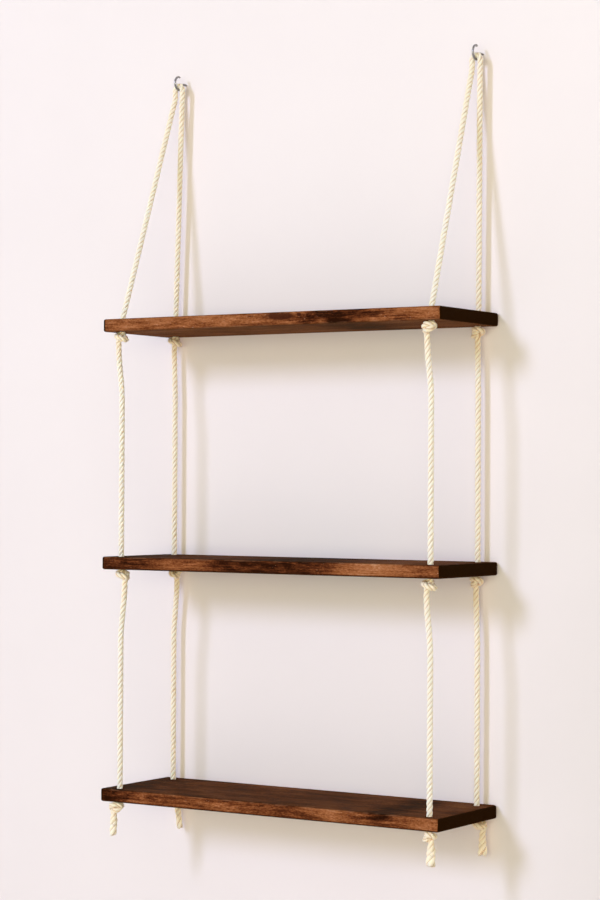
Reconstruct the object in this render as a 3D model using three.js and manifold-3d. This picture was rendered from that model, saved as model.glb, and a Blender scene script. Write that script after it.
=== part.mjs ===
// Hanging rope shelf: three boards strung on two ropes, each looped over a screw hook in a wall.
// Millimetres, +Z up. The wall's face is the plane y = 0, and the wall lies behind it at +Y.
// The origin is on that face, midway between the two hooks and level with their shanks.

import * as THREE from "three";
import { mergeVertices } from "three/addons/utils/BufferGeometryUtils.js";
import Module from "manifold-3d";

// Boards
const board_length = 610;
const board_depth = 182;
const board_thickness = 20;
const edge_round = 2.5;
const corner_round = 5;
const hole_from_end = 25;
const hole_from_edge = 19;

// Heights
const hook_drop = 394;
const upper_spacing = 375;
const lower_spacing = 365;

// Rope
const rope_diameter = 9.5;
const hole_clearance = 1.6;
const tail_length = 26;
const kick_length = 90;
const mouth_bend_radius = 30;
const mouth_bend_depth = 6;
const leg_drop = 32;
const knot_bedding = 0.03;

// Screw hooks
const hook_spacing = 550;
const wire_diameter = 3.5;
const ring_slack = 8.2;
const neck_length = 6;
const neck_bend_radius = 4;
const screw_depth = 28;
const screw_point = 6;
const ring_tip_degrees = 18;

// Touching pieces are kept this far apart
const seat_gap = 0.3;

// Detail counts
const rope_sides = 10;
const knot_sides = 8;
const knot_lengths = 4;
const wire_sides = 10;
const hole_segments = 8;
const corner_segments = 4;
const round_segments = 2;
const knot_steps = 2;
const strand_steps = 2;
const saddle_steps = 4;
const kick_steps = 5;
const ring_steps = 24;
const bend_steps = 4;

// Sizes that follow from the ones above
const rope_radius = rope_diameter / 2;
const hole_radius = rope_radius + hole_clearance;
const wire_radius = wire_diameter / 2;
const ring_radius = (rope_diameter + ring_slack + wire_diameter) / 2;
const neck_reach = Math.sqrt(ring_radius ** 2 + 2 * ring_radius * neck_bend_radius);
const hook_reach = neck_length + neck_reach;
const hole_x = board_length / 2 - hole_from_end;
const back_hole_y = -hole_from_edge;
const front_hole_y = hole_from_edge - board_depth;
const top_z = -hook_drop;
const middle_z = top_z - upper_spacing;
const bottom_z = middle_z - lower_spacing;

// An overhand knot drawn tight: its turns press into each other and the rope is squeezed a little.
// The route runs from the knot's middle to its lower end, in shares of the distance between turns.
// The upper half is the same route, turned half a turn about the knot's own x axis.
const knot_pitch_share = 0.67;
const knot_squeeze_share = 0.98;
const knot_pitch = rope_diameter * knot_pitch_share;
const knot_rope_radius = rope_radius * knot_squeeze_share;
const knot_route_shares = [
  [-0.95, 0, 0],
  [-0.75, 1.05, 0.25],
  [0.25, 1.4, 0.65],
  [1.0, 0.5, 0.75],
  [0.65, -0.45, 0.25],
  [0.05, -0.4, -0.6],
  [0.0, -0.05, -1.4],
  [0.0, 0.0, -2.1],
];
const knot_half_height = -knot_pitch * knot_route_shares.at(-1)[2];

// How each knot is turned about its rope, from the top board down
const knot_turns_degrees = {
  left_front: [40, 95, 270],
  left_back: [60, 30, 120],
  right_front: [262, 40, 210],
  right_back: [225, 210, 100],
};

// How far aside the rope leaves each knot, in rope diameters beside the hole's axis, along x and y
const kick_shares = {
  left_front: [[-0.8, 0.05], [0.75, 0], [-0.85, -0.5]],
  left_back: [[-0.25, 0.05], [0.55, 0.05], [0.8, 0.35]],
  right_front: [[-0.75, 0], [-0.7, 0.05], [0.3, 0]],
  right_back: [[-0.15, 0.05], [-0.3, 0.05], [0.95, 0.2]],
};

// The rope goes aside smoothly between these two points of the knot's whole route
const kick_route_points = [2, 13];

// Where each cut end hangs beside the tail's start, as shares of the tail's length, along x and y
const tail_lean_shares = {
  left_front: [-0.03, -0.02],
  left_back: [0.16, 0],
  right_front: [-0.04, -0.03],
  right_back: [0, 0.02],
};

// The tail's radius along its length, as shares of the rope's radius: its strands have loosened
const tail_flare_shares = [1, 1.12, 1.26, 1.32, 1.34, 1.34, 1.28, 1.05];
const tail_steps = tail_flare_shares.length - 1;

// Points of the bend at the top board's holes, and of the straight run above it, as shares of each
const mouth_bend_shares = [0.5, 1];
const strand_run_shares = [0.1, 0.5, 0.9];

// The strand turns upright as it nears the hook: each point's share of leg_drop below the wire,
// and the share of the strand's lean that it still has there
const leg_route_shares = [[1, 0.6], [0.5, 0.2]];

// The hook's two ends, as shares of the wire's radius
const ring_end_share = 0.6;
const screw_tip_share = 0.15;

// A line whose direction has less than this share of height counts as level
const level_share = 0.9;

const wood = new THREE.MeshStandardMaterial({ color: 0x4a2817, roughness: 0.55 });
const cotton = new THREE.MeshStandardMaterial({ color: 0xe9dfc6, roughness: 0.9 });
const plated_steel = new THREE.MeshStandardMaterial({
  color: 0xb9bcc0,
  roughness: 0.3,
  metalness: 1,
});

const up = new THREE.Vector3(0, 0, 1);
const down = new THREE.Vector3(0, 0, -1);
const sideways = new THREE.Vector3(1, 0, 0);

const wasm = await Module();
wasm.setup();

const shelf = new THREE.Group();

function addPiece(name, geometry, material) {
  const mesh = new THREE.Mesh(geometry, material);
  mesh.name = name;
  shelf.add(mesh);
}

// Solid of a closed geometry, for joining
function solidOf(geometry) {
  const bare = new THREE.BufferGeometry();
  bare.setAttribute("position", geometry.getAttribute("position"));
  bare.setIndex(geometry.getIndex());
  const merged = mergeVertices(bare);
  return new wasm.Manifold(
    new wasm.Mesh({
      numProp: 3,
      vertProperties: merged.getAttribute("position").array,
      triVerts: new Uint32Array(merged.getIndex().array),
    }),
  );
}

function geometryOf(solid) {
  const mesh = solid.getMesh();
  const geometry = new THREE.BufferGeometry();
  geometry.setAttribute("position", new THREE.BufferAttribute(mesh.vertProperties, mesh.numProp));
  geometry.setIndex(new THREE.BufferAttribute(mesh.triVerts, 1));
  geometry.computeVertexNormals();
  return geometry;
}

// The points of a centre line, each with the line's direction there
function lineThrough(centres, startDirection = null, endDirection = null) {
  return centres.map((centre, i) => {
    const before = centres[Math.max(i - 1, 0)];
    const after = centres[Math.min(i + 1, centres.length - 1)];
    let direction = after.clone().sub(before).normalize();
    if (i === 0 && startDirection) direction = startDirection;
    if (i === centres.length - 1 && endDirection) direction = endDirection;
    return { centre, direction };
  });
}

// Round sections square to a line, which don't twist along it
function sectionsAlong(line, radii, sides) {
  const first = line[0].direction;
  const helper = Math.abs(first.z) < level_share ? up : sideways;
  const across = helper.clone().cross(first).normalize();
  const turn = new THREE.Quaternion();
  return line.map(({ centre, direction }, i) => {
    if (i > 0) {
      turn.setFromUnitVectors(line[i - 1].direction, direction);
      across.applyQuaternion(turn).normalize();
    }
    const over = direction.clone().cross(across);
    return Array.from({ length: sides }, (_, k) => {
      const angle = (2 * Math.PI * k) / sides;
      return centre
        .clone()
        .addScaledVector(across, radii[i] * Math.cos(angle))
        .addScaledVector(over, radii[i] * Math.sin(angle));
    });
  });
}

// One closed body through a row of sections, with flat ends
function loft(sections) {
  const sides = sections[0].length;
  const points = sections.flat();
  const last = (sections.length - 1) * sides;
  const faces = [];
  for (let i = 0; i < sections.length - 1; i += 1) {
    for (let k = 0; k < sides; k += 1) {
      const a = i * sides + k;
      const b = i * sides + ((k + 1) % sides);
      faces.push(a, b, b + sides);
      faces.push(a, b + sides, a + sides);
    }
  }
  for (let k = 1; k < sides - 1; k += 1) {
    faces.push(0, k + 1, k);
    faces.push(last, last + k, last + k + 1);
  }
  const coordinates = points.flatMap((p) => p.toArray());
  const geometry = new THREE.BufferGeometry();
  geometry.setAttribute("position", new THREE.Float32BufferAttribute(coordinates, 3));
  geometry.setIndex(faces);
  geometry.computeVertexNormals();
  return geometry;
}

function ropeTube(line) {
  return loft(sectionsAlong(line, line.map(() => rope_radius), rope_sides));
}

// A line shortened at its ends, so that it stands clear of what it meets
function trimmed(line, startGap, endGap) {
  const moved = ({ centre, direction }, distance) => ({
    centre: centre.clone().addScaledVector(direction, distance),
    direction,
  });
  return [moved(line[0], startGap), ...line.slice(1, -1), moved(line.at(-1), -endGap)];
}

// A board with eased edges and four drilled holes, its upper face at z
function board(z) {
  const middle = new THREE.Vector2(0, -board_depth / 2);
  const half = new THREE.Vector2(board_length / 2 - corner_round, board_depth / 2 - corner_round);
  const corners = [[1, -1], [1, 1], [-1, 1], [-1, -1]];
  const points = corners.flatMap(([sideX, sideY], corner) =>
    Array.from({ length: corner_segments + 1 }, (_, i) => {
      const angle = (Math.PI / 2) * (corner - 1 + i / corner_segments);
      return new THREE.Vector2(
        middle.x + sideX * half.x + corner_round * Math.cos(angle),
        middle.y + sideY * half.y + corner_round * Math.sin(angle),
      );
    }),
  );
  const outline = new THREE.Shape(points);
  for (const x of [-hole_x, hole_x]) {
    for (const y of [front_hole_y, back_hole_y]) {
      const hole = new THREE.Path();
      hole.absarc(x, y, hole_radius, 0, 2 * Math.PI);
      outline.holes.push(hole);
    }
  }
  const geometry = new THREE.ExtrudeGeometry(outline, {
    depth: board_thickness - 2 * edge_round,
    bevelThickness: edge_round,
    bevelSize: edge_round,
    bevelOffset: -edge_round,
    bevelSegments: round_segments,
    curveSegments: hole_segments,
  });
  return geometry.translate(0, 0, z - board_thickness + edge_round);
}

// A screw hook bent from one wire: open ring, reversed bend, neck and pointed screw
function screwHook(x) {
  const centres = [];
  const radii = [];
  const place = (y, z, radius) => {
    centres.push(new THREE.Vector3(x, y, z));
    radii.push(radius);
  };
  const join = Math.atan2(neck_bend_radius, neck_reach);
  const ringStart = Math.PI / 2 - THREE.MathUtils.degToRad(ring_tip_degrees);
  const ringSweep = 2 * Math.PI - ringStart - join;
  for (let i = 0; i <= ring_steps; i += 1) {
    const angle = ringStart + (ringSweep * i) / ring_steps;
    const rounded = i === 0 ? ring_end_share : 1;
    place(
      ring_radius * Math.cos(angle) - hook_reach,
      ring_radius * Math.sin(angle),
      wire_radius * rounded,
    );
  }
  for (let i = 1; i <= bend_steps; i += 1) {
    const angle = Math.PI - join + ((join - Math.PI / 2) * i) / bend_steps;
    place(
      neck_bend_radius * Math.cos(angle) - neck_length,
      neck_bend_radius * (Math.sin(angle) - 1),
      wire_radius,
    );
  }
  place(0, 0, wire_radius);
  place(screw_depth - screw_point, 0, wire_radius);
  place(screw_depth, 0, wire_radius * screw_tip_share);
  return loft(sectionsAlong(lineThrough(centres), radii, wire_sides));
}

// Sections of a knot from its upper end to its lower end, round the origin and not yet turned.
// The rope is full thickness where it enters and leaves the knot, and squeezed between.
function knotSections(turn, [kickX, kickY]) {
  const kick = new THREE.Vector3(kickX, kickY, 0).multiplyScalar(rope_diameter);
  kick.applyAxisAngle(up, -turn);
  const lower = knot_route_shares.map((shares) =>
    new THREE.Vector3(...shares).multiplyScalar(knot_pitch),
  );
  const upper = lower.slice(1).map((p) => new THREE.Vector3(p.x, -p.y, -p.z));
  const route = [...upper.reverse(), ...lower];
  route.forEach((point, i) => {
    point.addScaledVector(kick, THREE.MathUtils.smoothstep(i, ...kick_route_points));
  });
  const centres = new THREE.CatmullRomCurve3(route).getPoints((route.length - 1) * knot_steps);
  const radii = centres.map((_, i) => {
    const fromEnd = Math.min(i, centres.length - 1 - i) / knot_steps;
    return THREE.MathUtils.lerp(rope_radius, knot_rope_radius, Math.min(fromEnd, 1));
  });
  return sectionsAlong(lineThrough(centres, down, down), radii, knot_sides);
}

// Height of a hole's eased mouth above the board's underside, at a distance from the hole's axis
function mouthRise(distance) {
  const short = Math.max(hole_radius + edge_round - distance, 0);
  return edge_round - Math.sqrt(edge_round ** 2 - short ** 2);
}

// Depth of a knot's middle below the board's underside, where its turns bed into the hole's mouth
function knotDepth(sections) {
  const reaches = sections
    .flat()
    .map((p) => [p.z, Math.hypot(p.x, p.y)])
    .filter(([, distance]) => distance > hole_radius)
    .map(([height, distance]) => height - mouthRise(distance));
  return Math.max(...reaches) + seat_gap - knot_bedding;
}

// The knot's tube crosses itself, so it is joined from lengths that don't.
// Turns that press into each other can close off a small space, which stays solid.
function knotGeometry(sections) {
  const steps = (sections.length - 1) / knot_lengths;
  let solid = null;
  for (let i = 0; i < knot_lengths; i += 1) {
    const from = Math.round(i * steps);
    const to = Math.round((i + 1) * steps);
    const length = solidOf(loft(sections.slice(from, to + 1)));
    solid = solid ? solid.add(length) : length;
  }
  const largest = solid.decompose().reduce((a, b) => (a.volume() > b.volume() ? a : b));
  return geometryOf(largest);
}

// The three knots of a corner, each hung below its board
function hungKnots(corner) {
  return [top_z, middle_z, bottom_z].map((z, i) => {
    const turn = THREE.MathUtils.degToRad(knot_turns_degrees[corner][i]);
    const sections = knotSections(turn, kick_shares[corner][i]);
    const middle = z - board_thickness - knotDepth(sections);
    return {
      geometry: knotGeometry(sections).rotateZ(turn),
      middle,
      above: middle + knot_half_height,
      below: middle - knot_half_height,
    };
  });
}

// How much of its kick a stretch still has at a share of kick_length below its knot
function kickLeft(share) {
  return (1 - share) ** 2 * (1 + 2 * share);
}

// A stretch from the knot under one board, through the next board's hole, down to its knot
function span(x, y, from, to, [kickX, kickY]) {
  const centres = [];
  for (let i = 0; i <= kick_steps; i += 1) {
    const aside = rope_diameter * kickLeft(i / kick_steps);
    const drop = (kick_length * i) / kick_steps;
    centres.push(new THREE.Vector3(x + kickX * aside, y + kickY * aside, from - drop));
  }
  centres.push(new THREE.Vector3(x, y, to));
  return ropeTube(trimmed(lineThrough(centres, down, down), seat_gap, seat_gap));
}

function tail(x, y, from, [kickX, kickY], [leanX, leanY]) {
  const centres = [];
  const start = new THREE.Vector3(x + rope_diameter * kickX, y + rope_diameter * kickY, from);
  for (let i = 0; i <= tail_steps; i += 1) {
    const share = i / tail_steps;
    const aside = tail_length * share ** 2;
    const offset = new THREE.Vector3(leanX * aside, leanY * aside, -tail_length * share);
    centres.push(start.clone().add(offset));
  }
  const radii = tail_flare_shares.map((share) => share * rope_radius);
  const line = trimmed(lineThrough(centres, down), seat_gap, 0);
  return loft(sectionsAlong(line, radii, rope_sides));
}

// Route of one strand from its top knot up to the side of the hook's wire
function strandRoute(hole, knotTop, side) {
  const straight = hole.clone().setZ(top_z - mouth_bend_depth);
  const run = side.clone().sub(straight).setZ(0);
  const rise = side.z - top_z;
  const slope = Math.atan2(run.length(), rise);
  const towards = run.clone().normalize();
  const route = [hole.clone().setZ(knotTop), straight];
  for (const share of mouth_bend_shares) {
    const angle = slope * share;
    route.push(
      straight
        .clone()
        .addScaledVector(towards, mouth_bend_radius * (1 - Math.cos(angle)))
        .addScaledVector(up, mouth_bend_radius * Math.sin(angle)),
    );
  }
  const mouth = route.at(-1);
  const leg = leg_route_shares.map(([drop_share, lean_share]) => {
    const drop = leg_drop * drop_share;
    return side
      .clone()
      .addScaledVector(up, -drop)
      .addScaledVector(towards, -drop * Math.tan(slope) * lean_share);
  });
  for (const share of strand_run_shares) {
    route.push(mouth.clone().lerp(leg[0], share));
  }
  return [...route, ...leg];
}

// Each rope runs from its front top knot up over the hook's ring and down to its back top knot
function upperRope(side, x, hookX, frontKnot, backKnot) {
  const saddle = wire_radius + seat_gap + rope_radius;
  const wire = new THREE.Vector3(hookX, -hook_reach, -ring_radius);
  const over = [];
  for (let i = 0; i <= saddle_steps; i += 1) {
    const angle = Math.PI * (1 - i / saddle_steps);
    const across = new THREE.Vector3(Math.cos(angle), 0, Math.sin(angle));
    over.push(wire.clone().addScaledVector(across, saddle));
  }
  const front = strandRoute(new THREE.Vector3(x, front_hole_y, 0), frontKnot.above, over[0]);
  const back = strandRoute(new THREE.Vector3(x, back_hole_y, 0), backKnot.above, over.at(-1));
  const route = [...front, ...over, ...back.reverse()];
  const curve = new THREE.CatmullRomCurve3(route);
  const line = lineThrough(curve.getPoints((route.length - 1) * strand_steps), up, down);
  // The bight starts at the first point of the front leg and ends at the same point of the back one
  const legFront = (front.length - leg_route_shares.length) * strand_steps;
  const legBack = (front.length + over.length + leg_route_shares.length - 1) * strand_steps;
  const split = seat_gap / 2;
  const stretches = {
    front_upper_strand: trimmed(line.slice(0, legFront + 1), seat_gap, split),
    rope_bight: trimmed(line.slice(legFront, legBack + 1), split, split),
    back_upper_strand: trimmed(line.slice(legBack), split, seat_gap),
  };
  for (const [name, stretch] of Object.entries(stretches)) {
    addPiece(side + "_" + name, ropeTube(stretch), cotton);
  }
}

// The hanging part of a rope below the top board: knots, stretches and the cut tail
function lowerRope(corner, x, y, knots) {
  const levels = ["top", "middle", "bottom"];
  const spans = ["middle_span", "lower_span"];
  const kicks = kick_shares[corner];
  levels.forEach((level, i) => {
    const { geometry, middle } = knots[i];
    addPiece(corner + "_" + level + "_knot", geometry.translate(x, y, middle), cotton);
  });
  spans.forEach((name, i) => {
    const stretch = span(x, y, knots[i].below, knots[i + 1].above, kicks[i]);
    addPiece(corner + "_" + name, stretch, cotton);
  });
  const end = tail(x, y, knots.at(-1).below, kicks.at(-1), tail_lean_shares[corner]);
  addPiece(corner + "_tail", end, cotton);
}

addPiece("top_shelf", board(top_z), wood);
addPiece("middle_shelf", board(middle_z), wood);
addPiece("bottom_shelf", board(bottom_z), wood);

for (const [side, sign] of [["left", -1], ["right", 1]]) {
  const hookX = (sign * hook_spacing) / 2;
  const x = sign * hole_x;
  const frontKnots = hungKnots(side + "_front");
  const backKnots = hungKnots(side + "_back");
  addPiece(side + "_screw_hook", screwHook(hookX), plated_steel);
  upperRope(side, x, hookX, frontKnots[0], backKnots[0]);
  lowerRope(side + "_front", x, front_hole_y, frontKnots);
  lowerRope(side + "_back", x, back_hole_y, backKnots);
}

export default shelf;
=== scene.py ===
import math

import bpy
import numpy as np
from mathutils import Matrix, Vector


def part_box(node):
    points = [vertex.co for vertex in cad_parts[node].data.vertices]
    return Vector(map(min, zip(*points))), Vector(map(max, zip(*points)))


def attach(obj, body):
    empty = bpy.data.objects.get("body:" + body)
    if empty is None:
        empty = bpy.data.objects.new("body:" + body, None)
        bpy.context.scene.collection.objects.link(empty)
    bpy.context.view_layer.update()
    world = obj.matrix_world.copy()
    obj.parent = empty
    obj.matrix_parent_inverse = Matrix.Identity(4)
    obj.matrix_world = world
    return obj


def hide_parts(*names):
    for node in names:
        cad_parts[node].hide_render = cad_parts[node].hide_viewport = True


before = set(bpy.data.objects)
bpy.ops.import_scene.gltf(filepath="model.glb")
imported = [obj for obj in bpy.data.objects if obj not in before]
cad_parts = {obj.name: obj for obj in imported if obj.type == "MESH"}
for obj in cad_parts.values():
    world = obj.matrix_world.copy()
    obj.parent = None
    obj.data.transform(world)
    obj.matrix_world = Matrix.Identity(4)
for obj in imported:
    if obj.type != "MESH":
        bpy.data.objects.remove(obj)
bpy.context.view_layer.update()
MM = 0.001
TURN = 2 * math.pi
LEVELS = ("top", "middle", "bottom")

# Sizes of the solids in millimetres, and the shares that place their rope
ROPE_DIAMETER = 9.5
TOP_Z = -394.0
HOLE_X = 280.0
HOLE_Y = {"front": -163.0, "back": -19.0}
# A knot's route from its middle down, in pitches; its upper half is this one turned over
KNOT_PITCH = 0.67 * ROPE_DIAMETER
KNOT_ROUTE = [
    (-0.95, 0, 0), (-0.75, 1.05, 0.25), (0.25, 1.4, 0.65), (1.0, 0.5, 0.75),
    (0.65, -0.45, 0.25), (0.05, -0.4, -0.6), (0, -0.05, -1.4), (0, 0, -2.1),
]
KNOT_SQUEEZE = 0.98
# At each level: degrees that the knot is turned, and the rope's shift below it, in diameters
KNOT_TURNS = {
    "left_front": (40, 95, 270), "left_back": (60, 30, 120),
    "right_front": (262, 40, 210), "right_back": (225, 210, 100),
}
EXIT_SHIFTS = {
    "left_front": ((-0.8, 0.05), (0.75, 0), (-0.85, -0.5)),
    "left_back": ((-0.25, 0.05), (0.55, 0.05), (0.8, 0.35)),
    "right_front": ((-0.75, 0), (-0.7, 0.05), (0.3, 0)),
    "right_back": ((-0.15, 0.05), (-0.3, 0.05), (0.95, 0.2)),
}
# The points of a knot's route between which the shift grows, and the length that undoes it
EXIT_SHIFT_POINTS = (2, 13)
RETURN_LENGTH = 90.0
# How far each tail's end leans, in shares of the tail
TAIL_LEANS = {
    "left_front": (-0.03, -0.02), "left_back": (0.16, 0),
    "right_front": (-0.04, -0.03), "right_back": (0, 0.02),
}
TAIL_LENGTH = 26.0
MOUTH_BEND_RADIUS = 30.0
MOUTH_BEND_DEPTH = 6.0
MOUTH_BEND_SHARES = (0.5, 1)
STRAND_RUN_SHARES = (0.1, 0.5, 0.9)
# Below the hook: shares of the drop, and of the strand's slope there
LEG_DROP = 32.0
LEG_SHARES = ((1, 0.6), (0.5, 0.2))
SADDLE_RADIUS = 6.8
SADDLE_POINTS = 5
HOOK_X = 275.0
HOOK_REACH = 20.04
RING_RADIUS = 10.6
RING_TIP = math.radians(18)
NECK_LENGTH = 6.0
NECK_BEND = 4.0
WIRE_RADIUS = 1.75
SCREW_DEPTH = 28.0
SCREW_POINT = 6.0
SCREW_TAPER = 0.85


def link(made):
    bpy.context.scene.collection.objects.link(made)
    return made


# Camera, fitted to the edges of the three boards
FOCAL_PIXELS, FRAME_HEIGHT, SENSOR, CLIP_END = 2383.09, 900, 36.0, 50
CAMERA_ANGLES = (32.527, -0.796, 0.27)
CAMERA_PLACE = (1.98279, -3.18733, -0.65156)


def make_camera():
    data = bpy.data.cameras.new("camera")
    data.sensor_width = SENSOR
    data.lens = FOCAL_PIXELS * SENSOR / FRAME_HEIGHT
    data.clip_end = CLIP_END
    az, el, roll = (math.radians(angle) for angle in CAMERA_ANGLES)
    look = Vector((-math.sin(az) * math.cos(el), math.cos(az) * math.cos(el), -math.sin(el)))
    level = Vector((math.cos(az), math.sin(az), 0))
    rise = level.cross(look)
    right = level * math.cos(roll) + rise * math.sin(roll)
    up = rise * math.cos(roll) - level * math.sin(roll)
    axes = Matrix((right, up, -look)).transposed().to_4x4()
    camera = link(bpy.data.objects.new("camera", data))
    camera.matrix_world = Matrix.Translation(CAMERA_PLACE) @ axes
    bpy.context.scene.camera = camera


# Small helpers for node trees
def add(tree, kind, inputs=None, **settings):
    node = tree.nodes.new(kind)
    for key, value in settings.items():
        setattr(node, key, value)
    for key, value in (inputs or {}).items():
        if isinstance(value, bpy.types.NodeSocket):
            tree.links.new(value, node.inputs[key])
        else:
            node.inputs[key].default_value = value
    return node


def calc(tree, operation, a, b=0.0, c=0.0):
    return add(tree, "ShaderNodeMath", {0: a, 1: b, 2: c}, operation=operation).outputs[0]


def times(tree, a, b):
    return calc(tree, "MULTIPLY", a, b)


def weighted(tree, value, weight, base):
    """The base, with a share of a value on top."""
    return calc(tree, "MULTIPLY_ADD", value, weight, base)


def wave(tree, operation, turns):
    """A sine or cosine of full turns, from none to one."""
    return weighted(tree, calc(tree, operation, times(tree, turns, TURN)), 0.5, 0.5)


def split(tree, vector):
    return add(tree, "ShaderNodeSeparateXYZ", {0: vector}).outputs


def noise(tree, vector, scale, detail, roughness=0.55):
    values = {"Vector": vector, "Scale": scale, "Detail": detail, "Roughness": roughness}
    return add(tree, "ShaderNodeTexNoise", values).outputs["Fac"]


def fade(tree, value, low, high, to_low=0.0, to_high=1.0):
    values = {
        "Value": value, "From Min": low, "From Max": high, "To Min": to_low, "To Max": to_high,
    }
    node = add(tree, "ShaderNodeMapRange", values, interpolation_type="SMOOTHSTEP")
    return node.outputs["Result"]


def ramp(tree, value, stops):
    node = add(tree, "ShaderNodeValToRGB", {"Fac": value})
    elements = node.color_ramp.elements
    while len(elements) < len(stops):
        elements.new(0.5)
    for element, (place, colour) in zip(elements, stops):
        element.position = place
        element.color = (*colour, 1)
    return node.outputs["Color"]


def mix(tree, share, a, b, blend="MIX"):
    node = add(tree, "ShaderNodeMix", {0: share}, data_type="RGBA", blend_type=blend)
    for index, value in ((6, a), (7, b)):
        if isinstance(value, bpy.types.NodeSocket):
            tree.links.new(value, node.inputs[index])
        else:
            node.inputs[index].default_value = (*value, 1)
    return node.outputs[2]


def tinted(tree, share, colour, tint):
    return mix(tree, share, colour, tint, "MULTIPLY")


def bump(tree, height, strength, distance, **more):
    values = {"Height": height, "Strength": strength, "Distance": distance, **more}
    return add(tree, "ShaderNodeBump", values).outputs[0]


def looks(tree):
    """One for the camera's rays, also by way of metal or glass."""
    rays = add(tree, "ShaderNodeLightPath").outputs
    by_way = calc(tree, "MAXIMUM", rays["Is Glossy Ray"], rays["Is Transmission Ray"])
    return calc(tree, "MAXIMUM", rays["Is Camera Ray"], by_way)


def new_material(name):
    material = bpy.data.materials.new(name)
    material.use_nodes = True
    material.node_tree.nodes.clear()
    return material, material.node_tree


def finish_material(tree, **sockets):
    names = {key.replace("_", " "): value for key, value in sockets.items()}
    shader = add(tree, "ShaderNodeBsdfPrincipled", names)
    add(tree, "ShaderNodeOutputMaterial", {"Surface": shader.outputs[0]})


# Stained wood. Each layer of its grain: scale along and across the board, detail, roughness
GRAIN = {
    "flow": (7, 30, 2, 0.55), "broad": (9, 24, 3, 0.6), "streak": (15, 430, 3, 0.6),
    "stipple": (230, 640, 3, 0.7), "fine": (95, 2100, 2, 0.6), "blotch": (34, 120, 3, 0.6),
    "speck": (330, 760, 1, 0.55), "rub": (45, 160, 3, 0.55), "end": (60, 1100, 3, 0.65),
}
GRAIN_WEIGHTS = {"broad": 0.62, "streak": 0.62, "stipple": 0.60, "blotch": 0.42}
GRAIN_OFFSETS = (3.7, 1.3, 2.1)
GRAIN_LIFT = 0.016
PATCH_UNEVEN = 3.2
# Growth rings, round a line below the board
GROWTH_DEPTH_SHARE, GROWTH_SEED_STEP, GROWTH_DROP = 0.35, 0.01, 0.055
GROWTH_FLOW, GROWTH_RINGS_PER_METRE, GROWTH_SHARPNESS = 0.008, 260.0, 2.6
LATE_SHADE, LATE_END_SHADE = -0.05, -0.25
STAIN_STOPS = [
    (0.14, (0.019, 0.0050, 0.0016)), (0.30, (0.072, 0.0190, 0.0060)),
    (0.42, (0.160, 0.0470, 0.0150)), (0.54, (0.275, 0.0950, 0.0330)),
    (0.66, (0.36, 0.142, 0.058)), (0.84, (0.51, 0.26, 0.145)),
]
# End grain's dark stain, painted darker still as painted shade
END_STAIN_AND_SHADE_STOPS = [(0.15, (0.008, 0.0029, 0.0005)), (0.7, (0.028, 0.0100, 0.0017))]
# How squarely a face looks up, down or to the right to count as facing that way
FACING = (0.6, 0.8)
# The top is painted darker, as painted shade; the underside is painted duller and olive, as a
# painted sheen
TOP_SHADE, TOP_SHADE_SHARE = (0.032, 0.018, 0.0062), 0.55
UNDER_SHEEN, UNDER_SHEEN_SHARE = (0.110, 0.056, 0.017), 0.40
PORE, PORE_RANGE, PORE_SHARE = (0.022, 0.0065, 0.003), (0.42, 0.31), 0.5
SPECK, SPECK_RANGE, SPECK_SHARE = (0.62, 0.43, 0.30), (0.72, 0.78), 0.6
SPECK_ZONE = (0.42, 0.58)
WOOD_KNOT, WOOD_KNOT_RANGE, WOOD_KNOT_SHARE = (0.048, 0.0125, 0.0056), (0.50, 0.95), 0.86
WOOD_KNOT_STREAK, WOOD_KNOT_LIFT, WOOD_KNOT_REACH = 0.4, -0.55, (2.4, 2.0)
# Metres from an edge over which it is rubbed, or over which the dark end reaches round it
WORN, WORN_GAP, WORN_SHARE, WORN_ZONE = (0.36, 0.165, 0.085), (0.0026, 0.0007), 0.5, (0.46, 0.66)
SEEP_UNEVEN, SEEP_START, SEEP_GAP, LEFT_SEEP = -0.003, 0.0015, (0.0021, 0.0011), (0.0048, 0.0028)
# Painted shade along the rounded lower edge of the faces
LOWER_EDGE_SHADE, LOWER_FACING, LOWER_GAP = (0.030, 0.010, 0.003), (-0.05, -0.25), (0.0035, 0.0015)
ROUGH_ZONE, WOOD_ROUGHNESS, WOOD_SPECULAR = (0.3, 0.75), (0.58, 0.78), 0.004
WOOD_RELIEF = {"fine": 0.5, "stipple": 0.5, "late": 0.2}
WOOD_BUMP, EDGE_BEVEL, BEVEL_SAMPLES = (0.6, 0.0004), 0.0016, 6

# Each board: seed, tone, painted shade along its lower edge, patches (x, z, half length, half
# height, lighter or darker) and knots in the wood (x, z, half length, half height)
BOARDS = {
    "top_shelf": (1.0, 0.475, 0.2, [
        (0.050, -0.410, 0.030, 0.006, 0.06), (0.122, -0.403, 0.055, 0.020, -0.27),
        (-0.16, -0.400, 0.12, 0.03, 0.02), (0.205, -0.399, 0.03, 0.010, -0.10),
        (0.262, -0.404, 0.04, 0.014, 0.03),
    ], [(0.028, -0.3995, 0.028, 0.0090), (0.063, -0.3985, 0.004, 0.0028)]),
    "middle_shelf": (2.0, 0.355, 0.85, [
        (-0.270, -0.779, 0.04, 0.03, -0.13), (-0.15, -0.779, 0.07, 0.02, 0.10),
        (0.02, -0.779, 0.085, 0.03, -0.18), (0.21, -0.779, 0.085, 0.02, 0.22),
    ], []),
    "bottom_shelf": (3.0, 0.44, 0.85, [
        (-0.280, -1.144, 0.035, 0.03, -0.20), (0.205, -1.138, 0.030, 0.009, -0.26),
        (0.10, -1.146, 0.06, 0.012, 0.05), (0.255, -1.144, 0.045, 0.014, 0.09),
    ], []),
}


def grain(tree, layer, vector, offset):
    along, across, detail, roughness = GRAIN[layer]
    values = {"Vector": vector, "Scale": (along, across, across), "Location": offset}
    place = add(tree, "ShaderNodeMapping", values).outputs[0]
    return noise(tree, place, 1.0, detail, roughness)


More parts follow.
